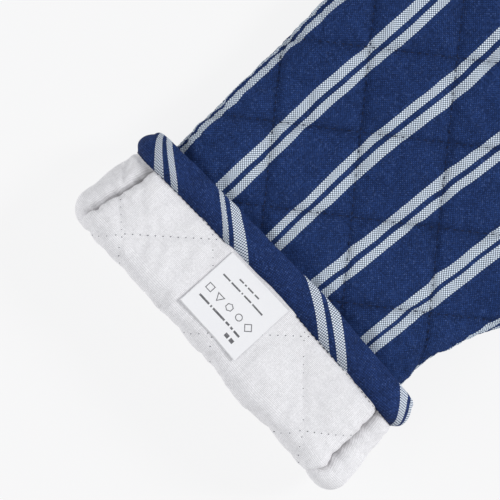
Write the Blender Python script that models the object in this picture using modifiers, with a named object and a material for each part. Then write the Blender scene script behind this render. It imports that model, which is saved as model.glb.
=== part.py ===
"""Quilted oven mitt with a thumb, lying palm down with its cuff turned back over the wrist.

Each panel is a sandwich of striped outer cloth, batting and white lining. The back and palm
sandwiches meet in one seam that runs round the hand, round the cuff's fold and up to the cuff's
edge, where a bias binding closes all the layers. Metres, +Y towards the fingertips, +Z up, +X
towards the thumb. Run with: blender --background --python part.py
"""

import math

import bmesh
import bpy
from mathutils import Vector

MM = 0.001

# Driving dimensions
WRIST_WIDTH = 150 * MM  # flat width across the body at the cuff
UNFOLDED_LENGTH = 330 * MM  # cuff edge to fingertips with the cuff turned down again
TURNED_BACK = 46 * MM  # straight part of the turned-back cuff
HALF_HEIGHT = 11.5 * MM  # body's outer face above the seam plane
RIM_REACH = 14 * MM  # how far in from the outline the rounded rim runs
CLOTH = 0.7 * MM
BATTING = 2.5 * MM
GAP = 0.3 * MM  # between touching layers
BINDING_WIDTH = 15.6 * MM  # visible width of the bias binding
LABEL_SIZE = (36.4 * MM, 33.2 * MM, 0.4 * MM)
THREAD = 0.5 * MM  # thread diameter
QUILT_SIDE = 39.3 * MM  # side of a quilted square
QUILT_ANGLE = math.radians(39.5)  # of one set of quilting lines to +X
QUILT_CROSSING = (4 * MM, 62 * MM)  # where two quilting lines cross
QUILT_SPANS = 4  # straight spans along one side of a square
QUILT_MARGIN = 7 * MM  # between the outline and the nearest square

# Depth of each layer's middle under the outer cloth's face
OUTER_DEPTH = CLOTH / 2
BATTING_DEPTH = CLOTH + GAP + BATTING / 2
LINING_DEPTH = CLOTH + GAP + BATTING + GAP + CLOTH / 2
PANEL_DEPTH = LINING_DEPTH + CLOTH / 2

# The fold. Its inner radius is smaller under the mitt, where the weight presses it.
FOLD_RADIUS_UNDER = 2.0 * MM
FOLD_RADIUS_TOP = 4.2 * MM
FOLD_STEPS = 7
LEAN_AT_SIDE = math.radians(4.2)  # the turned-back cuff leans in until its edge meets the body
SEAM_ANGLE = math.radians(46)  # the side seam rides up this far on the turned-back cuff
SEAM_HALF_GAP = 0.55 * MM  # holds the seam's thread with GAP on both sides

# Rows of points across a rim: the palm side goes further round on the turned-back cuff.
RIM_STEPS = {1: 3, -1: 5}
FLAT_SPANS = 2  # spans across the flat middle of the cuff

# The seam plane sinks from the cuff's height to the hand's, so that the palm lies down.
CUFF_SEAM_HEIGHT = HALF_HEIGHT + 2 * FOLD_RADIUS_UNDER + PANEL_DEPTH + GAP + CLOTH
HAND_CLEARANCE = GAP + THREAD + 0.1 * MM  # room for the palm's quilting thread
HAND_SEAM_HEIGHT = HALF_HEIGHT + HAND_CLEARANCE
WRIST_Y = 30 * MM
SINK_LENGTH = 54 * MM
SINK_STEPS = 6

# Straight distance along the turned-back cuff, measured from the end of the fold's arc
BINDING_LEG = BINDING_WIDTH - PANEL_DEPTH / 2 - GAP - CLOTH
BINDING_START = TURNED_BACK - BINDING_LEG
BINDING_THREAD_AT = BINDING_START - GAP - THREAD / 2
LABEL_TOP_AT = BINDING_THREAD_AT - THREAD / 2 - GAP
LABEL_CENTRE_X = -4 * MM

# The fold's axis is placed so that the cuff's edge comes back to y = 28.8 mm.
EDGE_Y = 28.8 * MM
FOLD_Y = EDGE_Y - TURNED_BACK - PANEL_DEPTH / 2 - GAP - CLOTH - 1 * MM
FOLD_ARC = math.pi * (FOLD_RADIUS_TOP + PANEL_DEPTH / 2)
TIP_Y = FOLD_Y + UNFOLDED_LENGTH - TURNED_BACK - FOLD_ARC

# Corners of the hand's outline from the little finger's side of the wrist, over the fingertips and
# down the thumb: (x, y, corner radius)
HALF_WRIST = WRIST_WIDTH / 2
OUTLINE = (
    (-HALF_WRIST, WRIST_Y, 0),
    (-HALF_WRIST - 3 * MM, TIP_Y, 60 * MM),
    (50 * MM, TIP_Y, 60 * MM),
    (47 * MM, 82 * MM, 9 * MM),
    (84 * MM, 165 * MM, 22 * MM),
    (124 * MM, 138 * MM, 22 * MM),
    (84 * MM, 68 * MM, 60 * MM),
    (HALF_WRIST, 42 * MM, 40 * MM),
    (HALF_WRIST, WRIST_Y, 0),
)
ARC_STEP = math.radians(23)

COLOURS = {
    "striped_cloth": ((0.03, 0.06, 0.17), 0.9),
    "white_cloth": ((0.8, 0.8, 0.82), 0.9),
    "batting": ((0.86, 0.85, 0.82), 1.0),
    "label": ((0.93, 0.93, 0.94), 0.55),
    "navy_thread": ((0.02, 0.03, 0.09), 0.7),
    "white_thread": ((0.85, 0.85, 0.85), 0.7),
}


def clear_scene():
    for obj in list(bpy.data.objects):
        bpy.data.objects.remove(obj)


def material(name):
    found = bpy.data.materials.get(name)
    if found is None:
        colour, roughness = COLOURS[name]
        found = bpy.data.materials.new(name)
        found.use_nodes = True
        shader = found.node_tree.nodes["Principled BSDF"]
        shader.inputs["Base Color"].default_value = (*colour, 1)
        shader.inputs["Roughness"].default_value = roughness
        shader.inputs["Metallic"].default_value = 0
    return found


def add_object(name, data, finish, collection, parent):
    obj = bpy.data.objects.new(name, data)
    obj.data.materials.append(material(finish))
    collection.objects.link(obj)
    obj.parent = parent
    return obj


def rounded_outline():
    """(point, outward normal) along the hand's outline, with each corner turned as an arc."""
    found = []
    for i, (x, y, radius) in enumerate(OUTLINE):
        corner = Vector((x, y))
        before = (corner - Vector(OUTLINE[i - 1][:2])).normalized() if i else Vector((0, 1))
        last = i == len(OUTLINE) - 1
        after = Vector((0, -1)) if last else (Vector(OUTLINE[i + 1][:2]) - corner).normalized()
        turn = before.angle_signed(after)  # positive when the outline turns right, round the hand
        if not radius:
            found.append((corner, Vector((1, 0)) if last else Vector((-1, 0))))
            continue
        reach = radius * math.tan(abs(turn) / 2)
        side = 1 if turn > 0 else -1
        start = corner - before * reach
        centre = start + side * radius * Vector((before.y, -before.x))
        steps = max(1, math.ceil(abs(turn) / ARC_STEP))
        for k in range(steps + 1):
            heading = math.atan2(before.y, before.x) - turn * k / steps
            normal = Vector((-math.sin(heading), math.cos(heading)))
            found.append((centre + side * radius * normal, normal))
    return found


def rim_point(angle, rise):
    """(offset from the outline, height) on the rim, pushed out by rise. Angle 0 is the seam plane."""
    across, up = math.cos(angle), math.sin(angle)
    normal = Vector((across / RIM_REACH, up / HALF_HEIGHT)).normalized()
    return Vector((RIM_REACH * (across - 1), HALF_HEIGHT * up)) + rise * normal


def rim_tangent(angle):
    return Vector((-RIM_REACH * math.sin(angle), HALF_HEIGHT * math.cos(angle))).normalized()


def seam_plane(y):
    """Height of the seam plane, which sinks smoothly from the cuff to the hand."""
    share = min(1, max(0, (y - WRIST_Y) / SINK_LENGTH))
    share = share * share * (3 - 2 * share)
    return CUFF_SEAM_HEIGHT + share * (HAND_SEAM_HEIGHT - CUFF_SEAM_HEIGHT)


def fold_radius(angle):
    share = min(1, 1 + angle / (math.pi / 2))
    return FOLD_RADIUS_UNDER + share * (FOLD_RADIUS_TOP - FOLD_RADIUS_UNDER)


def lean(angle):
    return LEAN_AT_SIDE * (1 + angle / (math.pi / 2))


def fold_point(angle, turn_share, depth):
    """(y, rise) part of the way round the fold's arc, for a surface at depth in the panel."""
    turn = turn_share * (math.pi + lean(angle))
    radius = fold_radius(angle) + depth
    return Vector((FOLD_Y - radius * math.sin(turn), fold_radius(angle) - radius * math.cos(turn)))


def cuff_point(angle, along, depth):
    """(y, rise) on the straight turned-back part of the cuff."""
    direction = Vector((math.cos(lean(angle)), -math.sin(lean(angle))))
    return fold_point(angle, 1, depth) + along * direction


def place(hand_side, half_width, offset_height, y):
    """A point beside the wrist: hand_side is -1 at the little finger and 1 at the thumb."""
    offset, height = offset_height
    return Vector((hand_side * (half_width + offset), y, height + seam_plane(y)))


def panel_rows(depth):
    """Rows of (seam angle, function from angle to (y, rise)) from the wrist to the cuff's edge."""
    rows = [(0, lambda angle: Vector((FOLD_Y, -depth)))]
    for k in range(1, FOLD_STEPS + 1):
        share = k / FOLD_STEPS
        rows.append((SEAM_ANGLE * share, lambda angle, s=share: fold_point(angle, s, depth)))
    rows.append((SEAM_ANGLE, lambda angle: cuff_point(angle, TURNED_BACK, depth)))
    return rows


def rim_angles(seam_angle, side):
    """Angles from the seam to the panel's flat middle."""
    steps = RIM_STEPS[side]
    return [seam_angle + (side * math.pi / 2 - seam_angle) * k / steps for k in range(steps + 1)]


def rim_place(angle, k, side, rise):
    """(offset, height) on a panel's rim, with the first point held back from the seam."""
    point = rim_point(angle, rise)
    return point + side * SEAM_HALF_GAP * rim_tangent(angle) if k == 0 else point


def hand_rings(mesh, depth, side):
    """Rings of vertices inwards from the hand's outline, up over the rim."""
    rings = []
    for k, angle in enumerate(rim_angles(0, side)):
        offset, height = rim_place(angle, k, side, -depth)
        ring = []
        for point, normal in rounded_outline():
            x, y = point + offset * normal
            ring.append(mesh.verts.new((x, y, height)))
        rings.append(ring)
    return rings


def cuff_row(mesh, seam_angle, profile, side):
    """One row of vertices across the cuff, from the little finger's seam to the thumb's."""
    half = []
    for k, angle in enumerate(rim_angles(seam_angle, side)):
        y, rise = profile(angle)
        half.append((*rim_place(angle, k, side, rise), y))
    left = [mesh.verts.new((-HALF_WRIST - o, y, h)) for o, h, y in half]
    right = [mesh.verts.new((HALF_WRIST + o, y, h)) for o, h, y in reversed(half)]
    return left + flat_middle(mesh, left[-1], right[0]) + right


def flat_middle(mesh, left, right):
    shares = [k / FLAT_SPANS for k in range(1, FLAT_SPANS)]
    return [mesh.verts.new(left.co.lerp(right.co, share)) for share in shares]


def sink(mesh):
    """Splits the hand where the seam plane bends, then lowers every point to that plane."""
    for k in range(1, SINK_STEPS + 1):
        everything = [*mesh.verts, *mesh.edges, *mesh.faces]
        y = WRIST_Y + SINK_LENGTH * k / SINK_STEPS
        bmesh.ops.bisect_plane(mesh, geom=everything, plane_co=(0, y, 0), plane_no=(0, 1, 0))
    for vert in mesh.verts:
        vert.co.z += seam_plane(vert.co.y)


def panel_sheet(name, depth, side):
    """The open middle surface of one layer: the hand, the fold and the turned-back cuff in one."""
    mesh = bmesh.new()
    rings = hand_rings(mesh, depth, side)
    for inner, outer in zip(rings[1:], rings):
        for i in range(len(outer) - 1):
            mesh.faces.new((outer[i], outer[i + 1], inner[i + 1], inner[i]))
    middle = flat_middle(mesh, rings[-1][0], rings[-1][-1])
    mesh.faces.new(rings[-1] + middle[::-1])
    last = [ring[0] for ring in rings] + middle + [ring[-1] for ring in reversed(rings)]
    for seam_angle, profile in panel_rows(depth):
        row = cuff_row(mesh, seam_angle, profile, side)
        for i in range(len(row) - 1):
            mesh.faces.new((last[i], last[i + 1], row[i + 1], row[i]))
        last = row
    bmesh.ops.recalc_face_normals(mesh, faces=mesh.faces)
    sink(mesh)
    data = bpy.data.meshes.new(name)
    mesh.to_mesh(data)
    mesh.free()
    return data


def thicken(obj, thickness):
    solidify = obj.modifiers.new("thickness", "SOLIDIFY")
    solidify.thickness = thickness
    solidify.offset = 0
    solidify.use_even_offset = True


def add_panels(collection, parent):
    layers = (
        ("outer_panel", OUTER_DEPTH, CLOTH, "striped_cloth"),
        ("batting", BATTING_DEPTH, BATTING, "batting"),
        ("lining", LINING_DEPTH, CLOTH, "white_cloth"),
    )
    for layer, depth, thickness, finish in layers:
        for side, place_name in ((1, "back"), (-1, "palm")):
            name = f"{place_name}_{layer}"
            obj = add_object(name, panel_sheet(name, depth, side), finish, collection, parent)
            thicken(obj, thickness)
            obj.data.shade_smooth()


def cuff_angles():
    """Angles round one side of the turned-back cuff, the panels' own columns."""
    palm = rim_angles(SEAM_ANGLE, -1)
    back = rim_angles(SEAM_ANGLE, 1)
    return palm[::-1] + back[1:]


def ring_points(along, depth):
    """A closed ring of points round the turned-back cuff."""
    half = []
    for angle in cuff_angles():
        y, rise = cuff_point(angle, along, depth)
        half.append((*rim_point(angle, rise), y))
    right = [place(1, HALF_WRIST, (o, h), y) for o, h, y in half]
    left = [place(-1, HALF_WRIST, (o, h), y) for o, h, y in reversed(half)]
    return right + left


def add_binding(collection, parent):
    """A strip folded over the cuff's edge: two legs joined by a half round."""
    over, under = PANEL_DEPTH + GAP + CLOTH / 2, -GAP - CLOTH / 2
    middle, radius = (over + under) / 2, (over - under) / 2
    profile = [(BINDING_START, over)]
    for k in range(5):
        turn = math.pi * k / 4
        profile.append((TURNED_BACK + radius * math.sin(turn), middle + radius * math.cos(turn)))
    profile.append((BINDING_START, under))
    mesh = bmesh.new()
    rings = [[mesh.verts.new(p) for p in ring_points(*at)] for at in profile]
    for one, other in zip(rings, rings[1:]):
        for i in range(len(one)):
            mesh.faces.new((one[i - 1], one[i], other[i], other[i - 1]))
    bmesh.ops.recalc_face_normals(mesh, faces=mesh.faces)
    data = bpy.data.meshes.new("cuff_binding")
    mesh.to_mesh(data)
    mesh.free()
    obj = add_object("cuff_binding", data, "striped_cloth", collection, parent)
    thicken(obj, CLOTH)
    obj.data.shade_smooth()


def add_label(collection, parent):
    """A flat ribbon label caught by its top edge beside the binding. Its origin is on that edge."""
    width, length, thickness = LABEL_SIZE
    top = math.pi / 2
    y, rise = cuff_point(top, LABEL_TOP_AT, PANEL_DEPTH + GAP + thickness / 2)
    bpy.ops.mesh.primitive_cube_add(size=1)
    obj = bpy.context.object
    obj.name = "care_label"
    obj.data.name = "care_label"
    obj.scale = LABEL_SIZE
    obj.location = (0, -length / 2, 0)
    bpy.ops.object.transform_apply(location=True, rotation=False, scale=True)
    obj.location = (LABEL_CENTRE_X, y, HALF_HEIGHT + rise + CUFF_SEAM_HEIGHT)
    obj.rotation_euler.x = -lean(top)
    obj.data.materials.append(material("label"))
    for owner in obj.users_collection:
        owner.objects.unlink(obj)
    collection.objects.link(obj)
    obj.parent = parent


def add_thread(name, points, closed, finish, collection, parent):
    data = bpy.data.curves.new(name, "CURVE")
    data.dimensions = "3D"
    data.bevel_depth = THREAD / 2
    data.bevel_resolution = 1
    data.use_fill_caps = True
    spline = data.splines.new("POLY")
    spline.points.add(len(points) - 1)
    for target, point in zip(spline.points, points):
        target.co = (*point, 1)
    spline.use_cyclic_u = closed
    return add_object(name, data, finish, collection, parent)


def seam_points(depth):
    """The seam's line from the cuff's edge, round the fold and the hand, and back to the edge."""
    half = []
    for seam_angle, profile in panel_rows(depth):
        y, rise = profile(seam_angle)
        half.append((*rim_point(seam_angle, rise), y))
    left = [place(-1, HALF_WRIST, (o, h), y) for o, h, y in reversed(half)]
    right = [place(1, HALF_WRIST, (o, h), y) for o, h, y in half]
    hand = []
    for point, normal in rounded_outline():
        x, y = point - depth * normal
        hand.append(Vector((x, y, seam_plane(y))))
    return left + with_sink_points(hand) + right


def with_sink_points(points):
    """Adds a point wherever the line crosses a height at which the panels are split."""
    found = points[:1]
    for start, end in zip(points, points[1:]):
        cuts = [WRIST_Y + SINK_LENGTH * k / SINK_STEPS for k in range(1, SINK_STEPS + 1)]
        inside = [y for y in cuts if min(start.y, end.y) + MM < y < max(start.y, end.y) - MM]
        for y in sorted(inside, reverse=end.y < start.y):
            x = start.x + (end.x - start.x) * (y - start.y) / (end.y - start.y)
            found.append(Vector((x, y, seam_plane(y))))
        found.append(end)
    return found


def inset(x, y, outline):
    """How far a point lies inside the hand's outline, or a negative number outside it."""
    point, nearest, sign = Vector((x, y)), math.inf, 1
    for (a, normal_a), (b, normal_b) in zip(outline, outline[1:]):
        share = min(1, max(0, (point - a).dot(b - a) / (b - a).length_squared))
        foot = a.lerp(b, share)
        if (point - foot).length < nearest:
            nearest = (point - foot).length
            sign = -1 if (point - foot).dot(normal_a.lerp(normal_b, share)) > 0 else 1
    return sign * nearest


def surface_height(depth_inside):
    """Height of the outer cloth's face over the seam plane, this far in from the outline."""
    across = max(0, 1 - depth_inside / RIM_REACH)
    return HALF_HEIGHT * math.sqrt(1 - across * across)


def add_quilting(name, side, collection, parent):
    """The quilting thread as a net: every whole quilted square on the hand is one mesh of its lines."""
    outline = rounded_outline()
    middle = Vector(QUILT_CROSSING)
    first = QUILT_SIDE * Vector((math.cos(QUILT_ANGLE), math.sin(QUILT_ANGLE)))
    second = QUILT_SIDE * Vector((-math.sin(QUILT_ANGLE), math.cos(QUILT_ANGLE)))
    low_y = WRIST_Y + QUILT_MARGIN
    spans = QUILT_SPANS
    near = [(k, 0) for k in range(spans)] + [(spans, k) for k in range(spans)]
    steps = near + [(spans - a, spans - b) for a, b in near]
    squares = range(-6 * spans, 6 * spans, spans)

    def position(i, j):
        return middle + first * i / spans + second * j / spans

    def fits(i, j):
        rim = [position(i + a, j + b) for a, b in steps]
        return all(p.y > low_y and inset(p.x, p.y, outline) > QUILT_MARGIN for p in rim)

    mesh = bmesh.new()
    verts = {}

    def vert(i, j):
        if (i, j) not in verts:
            x, y = position(i, j)
            height = surface_height(inset(x, y, outline)) + GAP + THREAD / 2
            verts[i, j] = mesh.verts.new((x, y, side * height))
        return verts[i, j]

    for i in squares:
        for j in squares:
            if fits(i, j):
                mesh.faces.new([vert(i + a, j + b) for a, b in steps])
    for v in mesh.verts:
        v.co.z += seam_plane(v.co.y)
    data = bpy.data.meshes.new(name)
    mesh.to_mesh(data)
    mesh.free()
    obj = add_object(name, data, "navy_thread", collection, parent)
    wire = obj.modifiers.new("lines", "WIREFRAME")
    wire.thickness = THREAD
    wire.use_boundary = True
    wire.use_replace = True


def centre_on_base(parent):
    """Moves the assembly so that the middle of its bounding box's base is the origin."""
    bpy.context.view_layer.update()
    graph = bpy.context.evaluated_depsgraph_get()
    points = []
    for obj in parent.children:
        shown = obj.evaluated_get(graph)
        points += [shown.matrix_world @ v.co for v in shown.to_mesh().vertices]
        shown.to_mesh_clear()
    low = Vector([min(p[k] for p in points) for k in range(3)])
    high = Vector([max(p[k] for p in points) for k in range(3)])
    parent.location = (-(low.x + high.x) / 2, -(low.y + high.y) / 2, -low.z)


def main():
    clear_scene()
    collection = bpy.data.collections.new("oven_mitt")
    bpy.context.scene.collection.children.link(collection)
    parent = bpy.data.objects.new("oven_mitt_origin", None)
    collection.objects.link(parent)
    add_panels(collection, parent)
    add_binding(collection, parent)
    add_label(collection, parent)
    add_thread("side_seam_thread", seam_points(OUTER_DEPTH), False, "navy_thread", collection, parent)
    lining_seam = seam_points(LINING_DEPTH)
    add_thread("lining_seam_thread", lining_seam, False, "white_thread", collection, parent)
    ring = ring_points(BINDING_THREAD_AT, PANEL_DEPTH + GAP + THREAD / 2)
    add_thread("binding_seam_thread", ring, True, "navy_thread", collection, parent)
    add_quilting("back_quilting_thread", 1, collection, parent)
    add_quilting("palm_quilting_thread", -1, collection, parent)
    centre_on_base(parent)


main()
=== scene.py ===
"""Looks of the quilted oven mitt: woven striped cloth, quilted relief, stitches, binding and label.

Lengths are in millimetres, and become metres when a mesh is made. The mitt is laid out with x = 0 in
the middle of the wrist and y = 0 at the middle of the visible turned-back cuff, then moved on to the
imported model's own place.
"""
import math

import bpy
import numpy as np
from mathutils import Matrix, Vector, geometry, noise
from mathutils.bvhtree import BVHTree


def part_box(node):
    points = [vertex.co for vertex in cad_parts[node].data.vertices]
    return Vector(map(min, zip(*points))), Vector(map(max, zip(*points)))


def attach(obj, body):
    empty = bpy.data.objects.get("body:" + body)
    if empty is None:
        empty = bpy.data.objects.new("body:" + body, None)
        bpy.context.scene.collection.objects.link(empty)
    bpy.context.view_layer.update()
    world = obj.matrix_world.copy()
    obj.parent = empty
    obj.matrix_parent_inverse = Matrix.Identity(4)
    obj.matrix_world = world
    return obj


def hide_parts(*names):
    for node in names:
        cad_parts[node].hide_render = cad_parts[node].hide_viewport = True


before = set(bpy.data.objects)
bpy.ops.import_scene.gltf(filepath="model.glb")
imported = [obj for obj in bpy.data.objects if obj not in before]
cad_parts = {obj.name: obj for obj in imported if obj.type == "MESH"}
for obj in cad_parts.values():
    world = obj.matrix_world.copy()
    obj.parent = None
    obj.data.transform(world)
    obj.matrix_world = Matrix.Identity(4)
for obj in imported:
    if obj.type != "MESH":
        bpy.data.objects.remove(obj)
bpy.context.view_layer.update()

MM = 0.001

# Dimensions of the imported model
HALF_WRIST = 75.0
HALF_HEIGHT = 11.5
RIM_REACH = 14.0
CLOTH = 0.7
BATTING = 2.5
GAP = 0.3
PANEL_DEPTH = 2 * CLOTH + BATTING + 2 * GAP
MIDDLE_DEPTH = PANEL_DEPTH / 2
TURNED_BACK = 46.0
FOLD_RADIUS_UNDER = 2.0
FOLD_RADIUS_TOP = 4.2
LEAN_AT_SIDE = math.radians(4.2)
BINDING_WIDTH = 15.6
EDGE_Y = 28.8
FOLD_Y = EDGE_Y - TURNED_BACK - MIDDLE_DEPTH - GAP - CLOTH - 1.0
TIP_Y = FOLD_Y + 330.0 - TURNED_BACK - math.pi * (FOLD_RADIUS_TOP + MIDDLE_DEPTH)
WRIST_Y = 30.0
SINK_LENGTH = 54.0
CUFF_SEAM_HEIGHT = HALF_HEIGHT + 2 * FOLD_RADIUS_UNDER + PANEL_DEPTH + GAP + CLOTH
HAND_SEAM_HEIGHT = HALF_HEIGHT + 0.9
BINDING_LEG = BINDING_WIDTH - MIDDLE_DEPTH - GAP - CLOTH
BINDING_START = TURNED_BACK - BINDING_LEG
LABEL_TOP_AT = BINDING_START - 1.1
LABEL_WIDTH, LABEL_LENGTH, LABEL_THICKNESS = 36.4, 33.2, 0.3
LABEL_CENTRE_X = -4.0
OUTLINE = (
    (-HALF_WRIST, WRIST_Y, 0),
    (-HALF_WRIST - 3, TIP_Y, 60),
    (50, TIP_Y, 60),
    (47, 82, 9),
    (84, 165, 22),
    (124, 138, 22),
    (84, 68, 60),
    (HALF_WRIST, 42, 40),
    (HALF_WRIST, WRIST_Y, 0),
)

# Fineness of the meshes
CELL = 1.7  # spacing of points in flat cloth
RIM_ROWS = {1: 22, -1: 28}
RIM_CROWDING = 1.5  # rows on the rim lie closer together towards the seam
SEAM_GAP = 0.12  # half the gap between the panels' edges

TABLE_CLEARANCE = 0.35  # under the lowest cloth

# How the fill's pressure swells the cloth, and how far from its stitches the cloth is held
CLOTH_SETTINGS = {
    "uniform_pressure_force": 2.0, "quality": 7, "mass": 0.15, "air_damping": 4, "shrink_min": -0.03,
    "tension_stiffness": 12, "compression_stiffness": 12, "shear_stiffness": 4, "bending_stiffness": 0.05,
}
SIMULATED_FRAMES = 14
LARGEST_MOVE = 1.6
LINE_HELD = 0.8
SEAM_HELD = {1: 1.5, -1: 3.5}  # on the outer cloth and on the lining

# Look of the quilting
PUFF = 1.4  # thickness between the quilting lines, as a share of the nominal
FLAT = 0.32  # thickness on a quilting line
QUILT_FALL = 4.5  # distance over which the batting swells up beside a line
STITCH = 3.5  # from one quilting stitch to the next
SEAM_STITCH = 2.6
BODY_STITCH, SEAM_THREAD, LINING_DOT = (2.3, 0.5), (1.9, 0.42), (0.8, 0.42)  # length and width
BODY_QUILT = ((4.0, 62.0), (31.0, 25.1), (-24.8, 29.8))  # a crossing, and the two sides of a square
CUFF_QUILT = ((-2.4, -42.8), (29.9, -29.2), (-29.9, -29.2))

# Stripes: pairs of pale bands on navy. Starts of the pairs across the mitt at three places along it
STRIPE, STRIPE_GAP, STRIPE_PITCH = 4.1, 2.5, 34.3
STRIPE_ROWS = (29.0, 92.8, 142.0)
STRIPE_STARTS = (
    (-80.0, -49.1, -17.2, 11.7, 45.4, 75.5),
    (-80.2, -49.1, -16.9, 17.6, 51.9, 86.5),
    (-78.0, -46.7, -11.9, 22.9, 57.5, 92.0),
)
THREAD_PITCH = 0.64  # from one thread of the striped cloth to the next
LINING_PITCH = 0.62
WEFT_PALENESS = 0.13  # how pale the navy threads look inside a pale stripe
FLECK = (0.07, 0.12, 0.3, 1)

# Edges of the binding's stripes, measured round the cuff from the middle of its top
BINDING_EDGE = (-92, -87.5, -84.5, -79.5, -48.8, -47.1, -42.2, -36.3,
                4.7, 14.7, 18.2, 29.2, 71.1, 77.7, 81.5, 90)
BINDING_SEAM = (-72.6, -67.1, -62.4, -57.8, -28.7, -25.7, -21.7, -12.6,
                33.2, 40.7, 46.2, 53.0, 90, 95.5, 99, 104)
BINDING_SLANT = 34
VISIBLE_ROUND = 4.6  # how much of the binding's rounded edge shows from above
BINDING_CROWN = 2.1
BINDING_ROWS = 14  # on each of the outside, the rounded edge and the inside
CUFF_COLUMNS = 74  # on each rounded side and on each flat of the turned-back cuff

# The side seams' crease on the turned-back cuff, and its tucks as (place of one, spacing, depth)
GROOVE_DEPTH, GROOVE_WIDTH = 4.6, 1.2
RIGHT_TUCKS, LEFT_TUCKS = (24.5, 19.5, 2.0), (25.5, 12.0, 1.4)

# The turned-back cuff lies unevenly: shifts along the mitt against x
FOLD_SHIFT = ((-88, -84, -79, -60, -30, 0, 30, 45, 58, 70, 80, 88),
              (6.0, 3.5, 1.6, 2.0, 1.5, 0.8, -1.5, -1.0, -0.8, -3.2, -2.6, -2.4))
EDGE_SHIFT = ((-88, -60, -30, 22, 40, 60, 75, 90), (-1.4, -0.7, -0.4, 0.2, -1.0, -2.2, -3.2, -4.2))

# The view: metres above the table, and the millimetres in view at the height of the cuff's top
CAMERA_HEIGHT, CUFF_TOP = 1.25, 0.032
VIEW_WIDTH = 225.2252
VIEW_CENTRE = (-17.2, 18.5)
CAMERA_TURN = math.radians(46)


# Where the layout's x = y = 0 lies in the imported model
BINDING_LOW, BINDING_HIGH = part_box("cuff_binding")
PLACE = np.array([(BINDING_LOW[0] + BINDING_HIGH[0]) / 2 / MM, BINDING_HIGH[1] / MM - EDGE_Y, 0.0])


def smooth(value, start, end):
    """0 before start, 1 after end and a smooth rise between."""
    share = np.clip((np.asarray(value, float) - start) / (end - start), 0, 1)
    return share * share * (3 - 2 * share)


def seam_plane(y):
    share = smooth(y, WRIST_Y, WRIST_Y + SINK_LENGTH)
    return CUFF_SEAM_HEIGHT + share * (HAND_SEAM_HEIGHT - CUFF_SEAM_HEIGHT)


def wander(x, share):
    """How far the turned-back cuff lies from its straight place. share is 0 at the fold, 1 at the edge."""
    return (1 - share) * np.interp(x, *FOLD_SHIFT) + share * np.interp(x, *EDGE_SHIFT)


def noise_at(points, size, seed):
    """Smooth noise from -1 to 1 at each point, with bumps of about this size."""
    shift = Vector((seed * 17.3, seed * 5.1, seed * 9.7))
    return np.array([noise.noise(Vector(p) / size + shift) for p in points])


# ---- outline and surface of the mitt


def rounded_outline(step):
    """Points and outward normals round the hand's outline, this far apart."""
    points, normals = [Vector(OUTLINE[0][:2])], [Vector((-1, 0))]

    def straight(end, normal):
        start = points[-1]
        count = max(1, math.ceil((end - start).length / step))
        for k in range(1, count):
            points.append(start.lerp(end, k / count))
            normals.append(normal)

    for previous, (x, y, radius), following in zip(OUTLINE, OUTLINE[1:], OUTLINE[2:]):
        corner = Vector((x, y))
        before = (corner - Vector(previous[:2])).normalized()
        after = (Vector(following[:2]) - corner).normalized()
        turn = before.angle_signed(after)
        side = 1 if turn > 0 else -1
        start = corner - before * radius * math.tan(abs(turn) / 2)
        centre = start + side * radius * Vector((before.y, -before.x))
        straight(start, Vector((-before.y, before.x)))
        steps = max(2, math.ceil(abs(turn) * radius / step))
        for k in range(steps + 1):
            heading = math.atan2(before.y, before.x) - turn * k / steps
            normal = Vector((-math.sin(heading), math.cos(heading)))
            points.append(centre + side * radius * normal)
            normals.append(normal)
    end, right = Vector(OUTLINE[-1][:2]), Vector((1, 0))
    straight(end, right)
    return np.array(points + [end]), np.array(normals + [right])


OUTLINE_POINTS, OUTLINE_NORMALS = rounded_outline(CELL)


def rim(angle):
    """(offset from the outline, height, and the outward normal's two parts) on the rounded rim."""
    across, up = np.cos(angle), np.sin(angle)
    nx, nz = across / RIM_REACH, up / HALF_HEIGHT
    size = np.hypot(nx, nz)
    return RIM_REACH * (across - 1), HALF_HEIGHT * up, nx / size, nz / size


def fold_radius(angle):
    share = np.minimum(1, 1 + angle / (math.pi / 2))
    return FOLD_RADIUS_UNDER + share * (FOLD_RADIUS_TOP - FOLD_RADIUS_UNDER)


def lean(angle):
    return LEAN_AT_SIDE * (1 + angle / (math.pi / 2))


def fold_profile(angle, share, along):
    """(y, rise, and their change with depth) this share round the fold, then along the turned-back cuff."""
    turn, radius = share * (math.pi + lean(angle)), fold_radius(angle)
    sin, cos = np.sin(turn), np.cos(turn)
    y = FOLD_Y - radius * sin + along * np.cos(lean(angle))
    return y, radius * (1 - cos) - along * np.sin(lean(angle)), -sin, -cos


def seam_angle(hand_side, along):
    """How far the side seam rides up on the turned-back cuff, more on the thumb's side at the fold."""
    if hand_side < 0:
        return math.radians(39 + 10 * float(smooth(along, 0, 26)))
    return math.radians(46.5 + 2.5 * math.sin(along / 5.5))


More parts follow.
